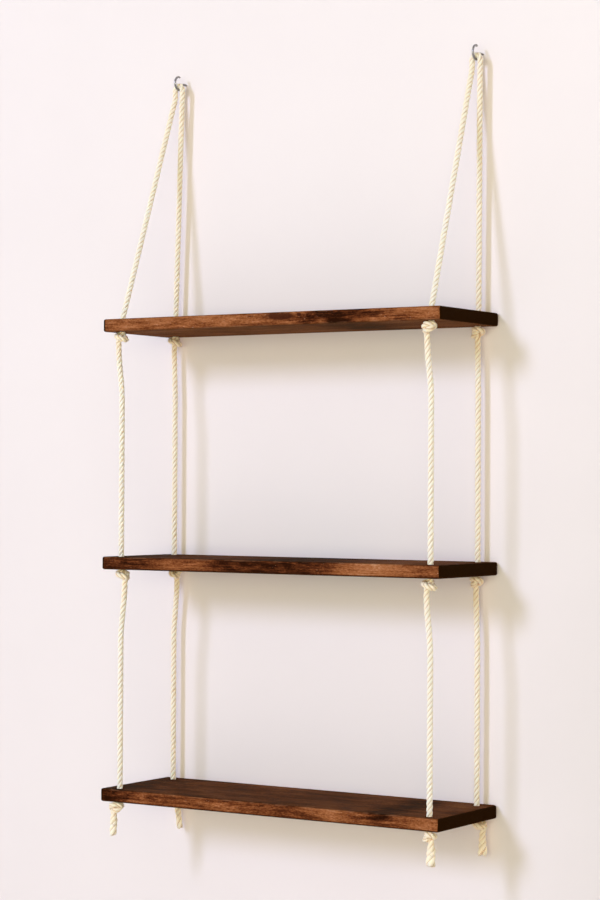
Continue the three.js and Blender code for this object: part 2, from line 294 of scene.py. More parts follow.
def blob(tree, x, z, wander, place, size):
    """One at a place on the board's long side, fading to none round it with an uneven rim."""
    dx = calc(tree, "DIVIDE", calc(tree, "SUBTRACT", x, place[0]), size[0])
    dz = calc(tree, "DIVIDE", calc(tree, "SUBTRACT", z, place[1]), size[1])
    square = weighted(tree, dx, dx, times(tree, dz, dz))
    square = calc(tree, "MAXIMUM", calc(tree, "ADD", square, wander), 0.0)
    return calc(tree, "EXPONENT", times(tree, square, -1.0))


def late_wood(tree, y, z, low, seed, flow):
    """One at the dark rim of each growth ring, falling to none inside it."""
    ring_y = calc(tree, "SUBTRACT", y, low[1] * GROWTH_DEPTH_SHARE + GROWTH_SEED_STEP * seed)
    ring_z = calc(tree, "SUBTRACT", z, low[2] - GROWTH_DROP)
    ring = calc(tree, "SQRT", weighted(tree, ring_y, ring_y, times(tree, ring_z, ring_z)))
    ring = times(tree, weighted(tree, flow, GROWTH_FLOW, ring), GROWTH_RINGS_PER_METRE)
    return calc(tree, "POWER", calc(tree, "FRACT", ring), GROWTH_SHARPNESS)


def edge_distances(tree, place, low, high):
    """The distance to the nearer end, and to the nearest edge."""
    gaps = []
    for value, lowest, highest in zip(place, low, high):
        half, middle = (highest - lowest) / 2, (highest + lowest) / 2
        from_middle = calc(tree, "ABSOLUTE", calc(tree, "SUBTRACT", value, middle))
        gaps.append(calc(tree, "SUBTRACT", half, from_middle))
    nearest = calc(tree, "MINIMUM", gaps[0], gaps[1])
    further = calc(tree, "MAXIMUM", gaps[0], gaps[1])
    return gaps[0], calc(tree, "MAXIMUM", nearest, calc(tree, "MINIMUM", further, gaps[2]))


def wood_material(name, low, high, seed, level, lower_edge_shade, patches, knots):
    material, tree = new_material(name)
    place = add(tree, "ShaderNodeTexCoord").outputs
    point = place["Object"]
    x, y, z = split(tree, point)
    facing = split(tree, place["Normal"])
    on_top = fade(tree, facing[2], *FACING)
    on_under = fade(tree, times(tree, facing[2], -1.0), *FACING)
    offset = tuple(seed * step for step in GRAIN_OFFSETS)

    # Grain, from broad zones down to single pores, bent round the knots in the wood
    flow = grain(tree, "flow", point, offset)
    lift = times(tree, calc(tree, "SUBTRACT", flow, 0.5), GRAIN_LIFT)
    for knot_x, knot_z, *size in knots:
        side = calc(tree, "SUBTRACT", z, knot_z)
        reach = [extent * share for extent, share in zip(size, WOOD_KNOT_REACH)]
        near = blob(tree, x, z, 0.0, (knot_x, knot_z), reach)
        lift = weighted(tree, times(tree, side, near), WOOD_KNOT_LIFT, lift)
    lifted = {0: x, 1: calc(tree, "ADD", y, lift), 2: calc(tree, "ADD", z, lift)}
    bent = add(tree, "ShaderNodeCombineXYZ", lifted).outputs[0]
    layers = {layer: grain(tree, layer, point, offset) for layer in ("broad", "blotch")}
    for layer in ("streak", "stipple", "fine"):
        layers[layer] = grain(tree, layer, bent, offset)
    layers["late"] = late_wood(tree, y, z, low, seed, flow)
    wander = times(tree, calc(tree, "SUBTRACT", layers["blotch"], 0.5), PATCH_UNEVEN)

    shade = level - 0.5 * sum(GRAIN_WEIGHTS.values())
    for layer, weight in GRAIN_WEIGHTS.items():
        shade = weighted(tree, layers[layer], weight, shade)
    shade = weighted(tree, layers["late"], LATE_SHADE, shade)
    for patch_x, patch_z, size_x, size_z, amount in patches:
        here = blob(tree, x, z, wander, (patch_x, patch_z), (size_x, size_z))
        shade = weighted(tree, here, amount, shade)
    # Painted shade on the top, and a painted sheen on the underside
    painted_face_share = weighted(tree, on_top, TOP_SHADE_SHARE, times(tree, on_under, UNDER_SHEEN_SHARE))
    painted_face_colour = mix(tree, on_top, UNDER_SHEEN, TOP_SHADE)
    colour = mix(tree, painted_face_share, ramp(tree, shade, STAIN_STOPS), painted_face_colour)

    # Dark pores, and pale specks where the stain did not take
    pore = fade(tree, layers["fine"], *PORE_RANGE)
    colour = mix(tree, times(tree, pore, PORE_SHARE), colour, PORE)
    speck = fade(tree, grain(tree, "speck", point, (offset[1], offset[0], 0)), *SPECK_RANGE)
    speck = times(tree, speck, fade(tree, layers["broad"], *SPECK_ZONE))
    colour = mix(tree, times(tree, speck, SPECK_SHARE), colour, SPECK)

    for knot_x, knot_z, *size in knots:
        core = blob(tree, x, z, wander, (knot_x, knot_z), size)
        core = weighted(tree, layers["streak"], WOOD_KNOT_STREAK, core)
        mask = times(tree, fade(tree, core, *WOOD_KNOT_RANGE), WOOD_KNOT_SHARE)
        colour = mix(tree, mask, colour, WOOD_KNOT)

    # Edges rubbed lighter
    to_end, to_edge = edge_distances(tree, (x, y, z), low, high)
    rub = grain(tree, "rub", point, offset)
    worn = times(tree, fade(tree, to_edge, *WORN_GAP), fade(tree, rub, *WORN_ZONE))
    colour = mix(tree, times(tree, worn, WORN_SHARE), colour, WORN)

    # End grain drinks the stain, and turns almost black with its corners; it is painted darker
    # still, as painted shade of the ends
    end_grain = weighted(tree, layers["late"], LATE_END_SHADE, grain(tree, "end", point, offset))
    from_left = weighted(tree, rub, SEEP_UNEVEN, x)
    on_left = fade(tree, from_left, *(low[0] + length for length in LEFT_SEEP))
    seep = weighted(tree, rub, SEEP_UNEVEN, calc(tree, "ADD", to_end, SEEP_START))
    on_end = calc(tree, "MAXIMUM", fade(tree, facing[0], *FACING), on_left)
    on_end = calc(tree, "MAXIMUM", on_end, fade(tree, seep, *SEEP_GAP))
    colour = mix(tree, on_end, colour, ramp(tree, end_grain, END_STAIN_AND_SHADE_STOPS))
    # Painted shade along the rounded lower edge
    lower = times(tree, fade(tree, facing[2], *LOWER_FACING), fade(tree, to_edge, *LOWER_GAP))
    colour = mix(tree, times(tree, lower, lower_edge_shade), colour, LOWER_EDGE_SHADE)

    height = 0.0
    for layer, weight in WOOD_RELIEF.items():
        height = weighted(tree, layers[layer], weight, height)
    eased = add(tree, "ShaderNodeBevel", {"Radius": EDGE_BEVEL}, samples=BEVEL_SAMPLES)
    finish_material(
        tree, Base_Color=colour, Specular_IOR_Level=WOOD_SPECULAR,
        Roughness=fade(tree, layers["blotch"], *ROUGH_ZONE, *WOOD_ROUGHNESS),
        Normal=bump(tree, height, *WOOD_BUMP, Normal=eased.outputs[0]),
    )
    return material


# Cotton. Yarns side by side in a strand, and how many times each winds round it in a metre
ROPE_YARNS, LOOSE_YARNS = (14, 64.0), (5, 90.0)
YARN_WANDER_SCALE, YARN_WANDER = 260, 0.9
FIBRE_SCALE, COTTON_PATCH_SCALE = 2600, 42
# The yarns' ridges and the strands' crowns are painted lighter, and the grooves and valleys
# between them darker, as painted shade
YARN_LIGHT, CROWN_LIGHT, FIBRE_LIGHT, CROWN_RANGE = 0.22, 0.62, 0.16, (0.58, 0.97)
COTTON_AND_SHADE_STOPS = [
    (0.02, (0.40, 0.27, 0.17)), (0.17, (0.80, 0.64, 0.47)), (0.30, (0.985, 0.86, 0.68)),
    (0.46, (0.999, 0.905, 0.745)), (0.72, (0.999, 0.935, 0.80)),
]
AGED, AGED_RANGE, AGED_SHARE = (0.93, 0.84, 0.66), (0.52, 0.76), 0.3
# Painted shade: the ropes' back legs, near the wall, are tinted warmer
BACK_SHADE_TINT, BACK_SHADE_RANGE = (1.0, 0.955, 0.905), (-0.11, -0.03)
# Painted warm bounce light on the rope just below each board
BOARD_BOUNCE_TINT, BOARD_BOUNCE_REACH, BOARD_BOUNCE_EDGE = (1.0, 0.91, 0.80), 0.075, 0.01
# Painted shade in the rope's own crevices, found by occlusion
CREVICE_SHADE, CREVICE_RANGE, CREVICE_REACH, CREVICE_SAMPLES = (0.88, 0.69, 0.50), (0.62, 0.2), 0.007, 8
FIBRE_RELIEF, COTTON_BUMP = 0.35, (0.7, 0.00028)
COTTON_FINISH = {
    "Roughness": 0.88, "Specular_IOR_Level": 0.2, "Sheen_Weight": 0.25, "Sheen_Roughness": 0.5,
    "Subsurface_Weight": 0.4, "Subsurface_Radius": (1.0, 0.8, 0.6), "Subsurface_Scale": 0.004,
}


def cotton_material(name, yarns, winds):
    material, tree = new_material(name)
    place = add(tree, "ShaderNodeTexCoord").outputs
    u, v, _ = split(tree, place["UV"])
    point = place["Object"]
    _, y, z = split(tree, point)
    phase = times(tree, weighted(tree, v, winds, u), yarns)
    phase = weighted(tree, noise(tree, point, YARN_WANDER_SCALE, 2), YARN_WANDER, phase)
    yarn = wave(tree, "SINE", phase)
    # Painted shade: lighter on each strand's crown, darker towards the valleys between strands
    crown = fade(tree, wave(tree, "COSINE", calc(tree, "SUBTRACT", u, 0.5)), *CROWN_RANGE)
    fibre = noise(tree, point, FIBRE_SCALE, 3, 0.7)
    light = weighted(tree, yarn, YARN_LIGHT, times(tree, crown, CROWN_LIGHT))
    colour = ramp(tree, weighted(tree, fibre, FIBRE_LIGHT, light), COTTON_AND_SHADE_STOPS)

    aged = fade(tree, noise(tree, point, COTTON_PATCH_SCALE, 3, 0.6), *AGED_RANGE)
    colour = tinted(tree, times(tree, aged, AGED_SHARE), colour, AGED)
    # Painted shade on the back legs near the wall
    colour = tinted(tree, fade(tree, y, *BACK_SHADE_RANGE), colour, BACK_SHADE_TINT)
    # Below each board the rope is painted warmer, as painted light bounced from the stained wood
    for board in BOARDS:
        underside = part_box(board)[0].z
        below = fade(tree, z, underside - BOARD_BOUNCE_REACH, underside - BOARD_BOUNCE_EDGE)
        board_bounce = times(tree, below, fade(tree, z, underside + BOARD_BOUNCE_EDGE, underside))
        colour = tinted(tree, board_bounce, colour, BOARD_BOUNCE_TINT)
    # Painted shade: darker and warmer in the rope's crevices
    crevices = add(
        tree, "ShaderNodeAmbientOcclusion", {"Distance": CREVICE_REACH},
        samples=CREVICE_SAMPLES, only_local=True,
    )
    colour = tinted(tree, fade(tree, crevices.outputs["AO"], *CREVICE_RANGE), colour, CREVICE_SHADE)
    relief = bump(tree, weighted(tree, fibre, FIBRE_RELIEF, yarn), *COTTON_BUMP)
    finish_material(tree, Base_Color=colour, Normal=relief, **COTTON_FINISH)
    return material


# Bright zinc plate: its crystals, and where it has dulled
CRYSTAL_SCALE, CRYSTAL_LIGHT = 900.0, 0.35
DULL_SCALE, DULL_LIGHT, DULL_RANGE = 420, 0.65, (0.3, 0.7)
ZINC_ROUGHNESS, ZINC_BUMP = (0.2, 0.38), (0.25, 0.0001)
ZINC_STOPS = [
    (0.25, (0.17, 0.165, 0.165)), (0.55, (0.30, 0.295, 0.29)), (0.8, (0.50, 0.495, 0.49)),
]


def zinc_material():
    material, tree = new_material("zinc_plate")
    point = add(tree, "ShaderNodeTexCoord").outputs["Object"]
    crystal = add(tree, "ShaderNodeTexVoronoi", {"Vector": point, "Scale": CRYSTAL_SCALE})
    grey = add(tree, "ShaderNodeRGBToBW", {0: crystal.outputs["Color"]}).outputs[0]
    dull = noise(tree, point, DULL_SCALE, 3)
    light = weighted(tree, grey, CRYSTAL_LIGHT, times(tree, dull, DULL_LIGHT))
    finish_material(
        tree, Base_Color=ramp(tree, light, ZINC_STOPS), Metallic=1.0,
        Roughness=fade(tree, dull, *DULL_RANGE, *ZINC_ROUGHNESS),
        Normal=bump(tree, dull, *ZINC_BUMP),
    )
    return material


# Routes of the rope, with the points along each stretch
KNOT_STEPS, UPPER_STEPS, SPAN_POINTS, TAIL_POINTS = 24, 30, 240, 40
ROPE_STEP, SAME_PLACE, NEAR_X = 1.4, 1e-6, 0.9
# How much further up these knots are pulled against the top board than their solids
TOP_KNOT_LIFTS = {"left_front": 2.0, "left_back": 2.0}
# The rope swells where it is cut: shares of its radius down each tail
TAIL_SWELLS = {
    "left_front": (1.05, 1.25, 1.3, 1.22, 1.1, 0.98, 0.88),
    "left_back": (1.1, 1.2, 1.18, 1.08, 0.98, 0.88, 0.78),
    "right_front": (1.05, 1.35, 1.45, 1.42, 1.45, 1.45, 1.25),
    "right_back": (1.0, 1.15, 1.22, 1.28, 1.42, 1.65, 1.75),
}


def unit(rows):
    return rows / np.linalg.norm(rows, axis=-1, keepdims=True)


def eased_share(share):
    return share * share * (3 - 2 * share)


def curve_through(points, steps):
    p = np.asarray(points, float)
    q = np.vstack([2 * p[0] - p[1], p, 2 * p[-1] - p[-2]])
    share = np.arange(steps)[:, None] / steps
    rows = []
    for x0, x1, x2, x3 in zip(q, q[1:], q[2:], q[3:]):
        d0, d1, d2 = (np.linalg.norm(b - a) ** 0.5 for a, b in ((x0, x1), (x1, x2), (x2, x3)))
        t1 = ((x1 - x0) / d0 - (x2 - x0) / (d0 + d1) + (x2 - x1) / d1) * d1
        t2 = ((x2 - x1) / d1 - (x3 - x1) / (d1 + d2) + (x3 - x2) / d2) * d1
        square = 3 * (x2 - x1) - 2 * t1 - t2
        cube = 2 * (x1 - x2) + t1 + t2
        rows.append(x1 + t1 * share + square * share**2 + cube * share**3)
    return np.vstack([*rows, p[-1:]])


def hole_of(corner):
    side, place = corner.split("_")
    return (HOLE_X if side == "right" else -HOLE_X), HOLE_Y[place]


def knot_line(corner, level):
    low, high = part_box(f"{corner}_{level}_knot")
    index = LEVELS.index(level)
    lower = np.array(KNOT_ROUTE, float) * KNOT_PITCH
    route = np.vstack([(lower[1:] * (1, -1, -1))[::-1], lower])
    turn = math.radians(KNOT_TURNS[corner][index])
    c, s = math.cos(turn), math.sin(turn)
    route = route @ np.array([[c, s, 0], [-s, c, 0], [0, 0, 1]])
    shift = np.array([*EXIT_SHIFTS[corner][index], 0]) * ROPE_DIAMETER
    first, last = EXIT_SHIFT_POINTS
    share = np.clip((np.arange(len(route)) - first) / (last - first), 0, 1)
    route += np.outer(eased_share(share), shift)
    line = curve_through(route, KNOT_STEPS)
    from_end = np.minimum(np.arange(len(line)), np.arange(len(line))[::-1]) / KNOT_STEPS
    size = 1 + (KNOT_SQUEEZE - 1) * np.clip(from_end, 0, 1)
    lift = TOP_KNOT_LIFTS.get(corner, 0) if level == "top" else 0
    middle = np.array([*hole_of(corner), (low.z + high.z) / 2 / MM + lift])
    return line + middle, size


def span_line(corner, start, end, shift):
    x, y = hole_of(corner)
    drop = np.linspace(0, start - end, SPAN_POINTS)
    aside = ROPE_DIAMETER * eased_share(1 - np.clip(drop / RETURN_LENGTH, 0, 1))
    return np.stack([x + shift[0] * aside, y + shift[1] * aside, start - drop], 1)


def tail_line(corner, start):
    x, y = hole_of(corner)
    share = np.linspace(0, 1, TAIL_POINTS)
    aside = TAIL_LENGTH * share**2
    shift, lean = EXIT_SHIFTS[corner][-1], TAIL_LEANS[corner]
    x, y = x + shift[0] * ROPE_DIAMETER, y + shift[1] * ROPE_DIAMETER
    return np.stack([x + lean[0] * aside, y + lean[1] * aside, start - TAIL_LENGTH * share], 1)


def corner_line(corner):
    """The rope from the top board's knot down to its cut end."""
    knots = [knot_line(corner, level) for level in LEVELS]
    lines, sizes = [], []
    for i, (line, size) in enumerate(knots):
        start = line[-1, 2]
        if i < len(knots) - 1:
            rest = span_line(corner, start, knots[i + 1][0][0, 2], EXIT_SHIFTS[corner][i])
            swell = np.ones(len(rest))
        else:
            rest = tail_line(corner, start)
            shares = TAIL_SWELLS[corner]
            swell = np.interp(np.linspace(0, 1, len(rest)), np.linspace(0, 1, len(shares)), shares)
        lines += [line, rest[1:]]
        sizes += [size, swell[1:]]
    return np.vstack(lines), np.concatenate(sizes)


def strand_route(corner, side, knot_top):
    """From the top board's knot up to one side of the hook."""
    x, y = hole_of(corner)
    straight = np.array([x, y, TOP_Z - MOUTH_BEND_DEPTH])
    run = np.array([side[0] - x, side[1] - y, 0.0])
    slope = math.atan2(np.linalg.norm(run), side[2] - TOP_Z)
    towards = unit(run)
    up = np.array([0, 0, 1.0])
    route = [np.array([x, y, knot_top]), straight]
    for share in MOUTH_BEND_SHARES:
        angle = slope * share
        bend = towards * (1 - math.cos(angle)) + up * math.sin(angle)
        route.append(straight + MOUTH_BEND_RADIUS * bend)
    legs = [
        side - up * LEG_DROP * drop - towards * LEG_DROP * drop * math.tan(slope) * lean
        for drop, lean in LEG_SHARES
    ]
    route += [route[-1] + (legs[0] - route[-1]) * share for share in STRAND_RUN_SHARES]
    return route + legs


def rope_line(side):
    """The whole rope of one side: front cut end, over the hook, back cut end."""
    sign = 1 if side == "right" else -1
    front, front_size = corner_line(side + "_front")
    back, back_size = corner_line(side + "_back")
    angles = np.linspace(TURN / 2, 0, SADDLE_POINTS)
    wire = np.array([sign * HOOK_X, -HOOK_REACH, -RING_RADIUS])
    over = wire + SADDLE_RADIUS * np.stack([np.cos(angles), 0 * angles, np.sin(angles)], 1)
    up_front = strand_route(side + "_front", over[0], front[0, 2])
    up_back = strand_route(side + "_back", over[-1], back[0, 2])
    upper = curve_through([*up_front, *over, *up_back[::-1]], UPPER_STEPS)[1:-1]
    line = np.vstack([front[::-1], upper, back])
    size = np.concatenate([front_size[::-1], np.ones(len(upper)), back_size])
    return line, size


def lengths_along(line):
    return np.concatenate([[0], np.cumsum(np.linalg.norm(np.diff(line, axis=0), axis=1))])


def spaced(line, size):
    """The same route in even steps and a little smoother, with the length up to each point."""
    kept = np.concatenate([[True], np.diff(lengths_along(line)) > SAME_PLACE])
    line, size = line[kept], size[kept]
    along = lengths_along(line)
    places = np.linspace(0, along[-1], int(along[-1] / ROPE_STEP) + 1)
    line = np.stack([np.interp(places, along, line[:, k]) for k in range(3)], 1)
    size = np.interp(places, along, size)
    for _ in range(2):
        line[1:-1] = (line[:-2] + 2 * line[1:-1] + line[2:]) / 4
        size[1:-1] = (size[:-2] + 2 * size[1:-1] + size[2:]) / 4
    return line, size, lengths_along(line)


def carried_frames(line):
    """Two directions across a line that do not spin on their way along it."""
    direction = unit(np.gradient(line, axis=0))
    across = np.zeros_like(line)
    first = np.array([1.0, 0, 0]) if abs(direction[0, 0]) < NEAR_X else np.array([0, 1.0, 0])
    across[0] = unit(first - direction[0] * (first @ direction[0]))
    for i in range(1, len(line)):
        kept = across[i - 1] - direction[i] * (across[i - 1] @ direction[i])
        across[i] = kept / np.linalg.norm(kept)
    return across, np.cross(direction, across)


# Meshes made of tubes
def tube_part(centre, radius, outward, sides, along):
    """Rings round a line, numbered from its inner side, with a map of turn and length."""
    direction = unit(np.gradient(centre, axis=0))
    out = unit(outward - direction * np.sum(outward * direction, axis=1, keepdims=True))
    side = np.cross(direction, out)
    angle = TURN * np.arange(sides) / sides - TURN / 2
    ring = out[:, None] * np.cos(angle)[:, None] + side[:, None] * np.sin(angle)[:, None]
    points = (centre[:, None] + radius[:, None, None] * ring).reshape(-1, 3)
    n = len(centre)
    i, j = np.meshgrid(np.arange(n - 1), np.arange(sides), indexing="ij")
    i, j = i.ravel(), j.ravel()
    k = (j + 1) % sides
    faces = np.stack([i * sides + j, i * sides + k, (i + 1) * sides + k, (i + 1) * sides + j], 1)
    turn = np.stack([j, j + 1, j + 1, j], 1) / sides
    length = np.stack([along[i], along[i], along[i + 1], along[i + 1]], 1)
    caps = [list(range(sides))[::-1], [(n - 1) * sides + m for m in range(sides)]]
    return points, faces, np.stack([turn, length], 2), caps


def mesh_object(name, parts, material):
    """One object from closed parts, each with its rings' map."""
    points, faces, maps, base = [], [], [], 0
    for part_points, part_faces, part_map, caps in parts:
        points.append(part_points)
        faces += (part_faces + base).tolist()
        maps.append(part_map.reshape(-1, 2))
        for cap in caps:
            faces.append([base + m for m in cap])
            maps.append(np.zeros((len(cap), 2)))
        base += len(part_points)
    mesh = bpy.data.meshes.new(name)
    mesh.from_pydata((np.vstack(points) * MM).tolist(), [], faces)
    layer = mesh.uv_layers.new(name="rope")
    layer.data.foreach_set("uv", np.vstack(maps).astype(np.float32).ravel())
    mesh.polygons.foreach_set("use_smooth", [True] * len(mesh.polygons))
    mesh.materials.append(material)
    return link(bpy.data.objects.new(name, mesh))


# The laid rope in millimetres, with amounts, lengths and seeds' shares of its unevenness
STRANDS, STRAND_SHARE, STRAND_SIDES = 3, 0.54, 14
LAY = 26.0
LAY_DRIFTS = ((0.35, 47, 1), (0.2, 19, 2))
STRAND_UNEVEN, STRAND_UNEVEN_LENGTH, STRAND_UNEVEN_STEP = 0.03, 13, 5
ROPE_SEED_STEP, FRAY_SEED, FRAY_SEED_STEP = 1.7, 11, 5

# Frayed ends: how far each reaches, how far its strands open, and where it leans
FRAYS = {
    "left_front": (17.5, 0.3, (-1.2, 0)), "left_back": (24.0, 0.2, (-0.8, 0)),
    "right_front": (16.0, 0.8, (0.2, 0)), "right_back": (16.5, 2.2, (0.2, 0)),
}
FRAY_CUT, FRAY_POINTS, FRAY_UNWIND = 13.0, 14, 0.28
FRAY_BELLY, FRAY_BELLY_TURN, FRAY_TIP, FRAY_TIP_TAPER = 0.10, 2.4, 0.86, 1.9
YARNS, YARN_POINTS, YARN_SIDES = 13, 6, 6
YARN_RADIUS, YARN_TAPER, YARN_BOW, YARN_RING, YARN_MAP = 0.52, 0.45, 0.35, 0.8, 4
# Random shares and lengths: the least, and how much more at most
FRAY_LENGTHS, FRAY_OPENINGS = (0.92, 0.16), (0.75, 0.5)
YARN_DRIFTS, YARN_LENGTHS = (0.3, 1.1), (2.0, 2.2)


def rope_piece(side, seed, material):
    """The laid rope, its centreline and length, and what each frayed end grows from."""
    line, size, along = spaced(*rope_line(side))
    cut = int(FRAY_CUT / ROPE_STEP)
    line, size, along = line[cut:-cut], size[cut:-cut], along[cut:-cut]
    across, over = carried_frames(line)
    angle = TURN * along / LAY
    for amount, length, share in LAY_DRIFTS:
        angle = angle + amount * np.sin(along / length + share * seed)
    radius = size * ROPE_DIAMETER / 2
    parts = []
    for strand in range(STRANDS):
        turn = (angle + TURN * strand / STRANDS)[:, None]
        outward = across * np.cos(turn) + over * np.sin(turn)
        wave_at = along / STRAND_UNEVEN_LENGTH + STRAND_UNEVEN_STEP * strand + seed
        thickness = STRAND_SHARE * (1 + STRAND_UNEVEN * np.sin(wave_at))
        centre = line + outward * (radius * (1 - STRAND_SHARE))[:, None]
        parts.append(tube_part(centre, radius * thickness, outward, STRAND_SIDES, along * MM))
    rope = mesh_object(side + "_rope", parts, material)
    ends = [
        (line[at], unit(line[at] - line[inner]), across[at], over[at], angle[at], radius[at], step)
        for step, at, inner in ((-1, 0, 1), (1, -1, -2))
    ]
    return rope, line * MM, float(along[-1] - along[0]) * MM, ends


def drawn(rng, least, more):
    return least + more * rng.random()


def frayed_end(name, end, seed, material, reach, splay, lean):
    """Three strands that open where the rope is cut, each with its loose yarns."""
    place, direction, across, over, angle, radius, step = end
    rng = np.random.default_rng(seed)
    parts = []
    share = np.linspace(0, 1, FRAY_POINTS)
    for strand in range(STRANDS):
        length = reach * drawn(rng, *FRAY_LENGTHS)
        wound = (TURN * length / LAY) * (share - FRAY_UNWIND * share**2)
        turn = (angle + TURN * strand / STRANDS + step * wound)[:, None]
        outward = across * np.cos(turn) + over * np.sin(turn)
        spread = radius * (1 - STRAND_SHARE) + splay * drawn(rng, *FRAY_OPENINGS) * share**2
        drop = direction * (length * share)[:, None]
        aside = np.array([*lean, 0.0]) * (share**2)[:, None]
        centre = place + drop + aside + outward * spread[:, None]
        taper = np.where(share > FRAY_TIP, 1 - FRAY_TIP_TAPER * (share - FRAY_TIP), 1)
        belly = 1 + FRAY_BELLY * np.sin(share * FRAY_BELLY_TURN)
        swell = radius * STRAND_SHARE * belly * taper
        parts.append(tube_part(centre, swell, outward, STRAND_SIDES, share * length * MM))
        tip, heading = centre[-3], unit(centre[-1] - centre[-3])
        side = unit(np.cross(heading, outward[-1]))
        out = np.cross(side, heading)
        for _ in range(YARNS):
            spin, off = rng.random() * TURN, math.sqrt(rng.random()) * YARN_RING
            away = (out * math.cos(spin) + side * math.sin(spin)) * off
            start = tip + away * swell[-3]
            drift = away * drawn(rng, *YARN_DRIFTS)
            far = start + heading * drawn(rng, *YARN_LENGTHS) + drift
            bow = rng.normal(0, YARN_BOW, 3)
            t = np.linspace(0, 1, YARN_POINTS)
            path = start + np.outer(t, far - start) + np.outer(t * (1 - t) * 4, bow)
            thin = YARN_RADIUS * (1 - YARN_TAPER * t**2)
            outs = np.tile(out, (YARN_POINTS, 1))
            parts.append(tube_part(path, thin, outs, YARN_SIDES, t * YARN_MAP * MM))
    return mesh_object(name, parts, material)


# Screw hooks, from the filed tip of the ring to the thread in the wall
RING_POINTS, NECK_POINTS, SHANK_POINTS, WIRE_SIDES = 90, 16, 40, 20
TIP_SHARES = (0.45, 0.8, 0.95, 1)
CORE_START, CORE_SHARE = 2, 0.82
THREAD_START, THREAD_SPARE, THREAD_TURNS = 2.2, 3.6, 11.5
THREAD_POINTS, THREAD_SIDES = 240, 8
THREAD_RADIUS, THREAD_SEAT, THREAD_LEAST = 0.42, 0.83, 0.4
THREAD_FADE, THREAD_FADE_LEAST = 12, 0.15


def screw_body(y):
    """The share of the wire's radius that its screw has, less towards its point."""
    return 1 - SCREW_TAPER * np.clip((y - SCREW_DEPTH + SCREW_POINT) / SCREW_POINT, 0, None)


def hook_piece(side, material):
    """A round open ring, a neck bent back from it, and a screw with one ridge wound round it."""
    hook_x = HOOK_X if side == "right" else -HOOK_X
    join = math.atan2(NECK_BEND, math.sqrt(RING_RADIUS**2 + 2 * RING_RADIUS * NECK_BEND))
    angles = np.linspace(TURN / 4 - RING_TIP, TURN - join, RING_POINTS)
    bends = np.linspace(TURN / 2 - join, TURN / 4, NECK_POINTS)[1:]
    shank = np.linspace(-NECK_LENGTH, SCREW_DEPTH, SHANK_POINTS + 1)[1:]
    stretches = [
        (RING_RADIUS * np.cos(angles) - HOOK_REACH, RING_RADIUS * np.sin(angles)),
        (NECK_BEND * np.cos(bends) - NECK_LENGTH, NECK_BEND * (np.sin(bends) - 1)),
        (shank, 0 * shank),
    ]
    y, z = (np.concatenate(values) for values in zip(*stretches))
    line = np.stack([np.full(len(y), hook_x), y, z], 1)
    radius = WIRE_RADIUS * screw_body(y) * np.where(y > CORE_START, CORE_SHARE, 1)
    radius[:len(TIP_SHARES)] = WIRE_RADIUS * np.array(TIP_SHARES)
    outward = np.tile([1.0, 0, 0], (len(line), 1))
    parts = [tube_part(line, radius, outward, WIRE_SIDES, np.zeros(len(line)))]

    t = np.linspace(0, 1, THREAD_POINTS)
    along = THREAD_START + (SCREW_DEPTH - THREAD_SPARE) * t
    body = screw_body(along)
    spin = TURN * THREAD_TURNS * t
    ridge = np.stack([np.cos(spin), 0 * spin, np.sin(spin)], 1)
    axis = np.stack([np.full(len(t), hook_x), along, 0 * t], 1)
    centre = axis + ridge * (WIRE_RADIUS * body * THREAD_SEAT)[:, None]
    fade_in = np.clip(np.minimum(t, 1 - t) * THREAD_FADE, THREAD_FADE_LEAST, 1)
    height = THREAD_RADIUS * fade_in * np.clip(body, THREAD_LEAST, 1)
    parts.append(tube_part(centre, height, ridge, THREAD_SIDES, np.zeros(len(t))))
    return mesh_object(side + "_hook", parts, material)


# Wall and floor: their colours, what darkens them, and the floor's own light
WALL, FLOOR, FLOOR_GLOW = (0.828, 0.773, 0.775), (0.80, 0.775, 0.76), 0.25
FAR, WALL_Y, FLOOR_Z = 8.0, 0.0006, -1.62
MOTTLE_SCALE, MOTTLE_RANGE, MOTTLE_SHADE = 3.2, (0.3, 0.7), 0.985
LOW_SHADE_TINT, LOW_RANGE = (0.96, 0.96, 0.955), (0.1, -1.5)
CORNER_SHADE_TINT, CORNER_ACROSS, CORNER_DOWN = (0.865, 0.87, 0.85), (0.2, 0.7), (0.1, -1.1)
LAMPS_TINT, LAMPS_RANGE = (0.60, 0.60, 0.61), (-0.9, -5.0)
PLASTER_SCALE, PLASTER_BUMP = 900, (0.08, 0.0004)


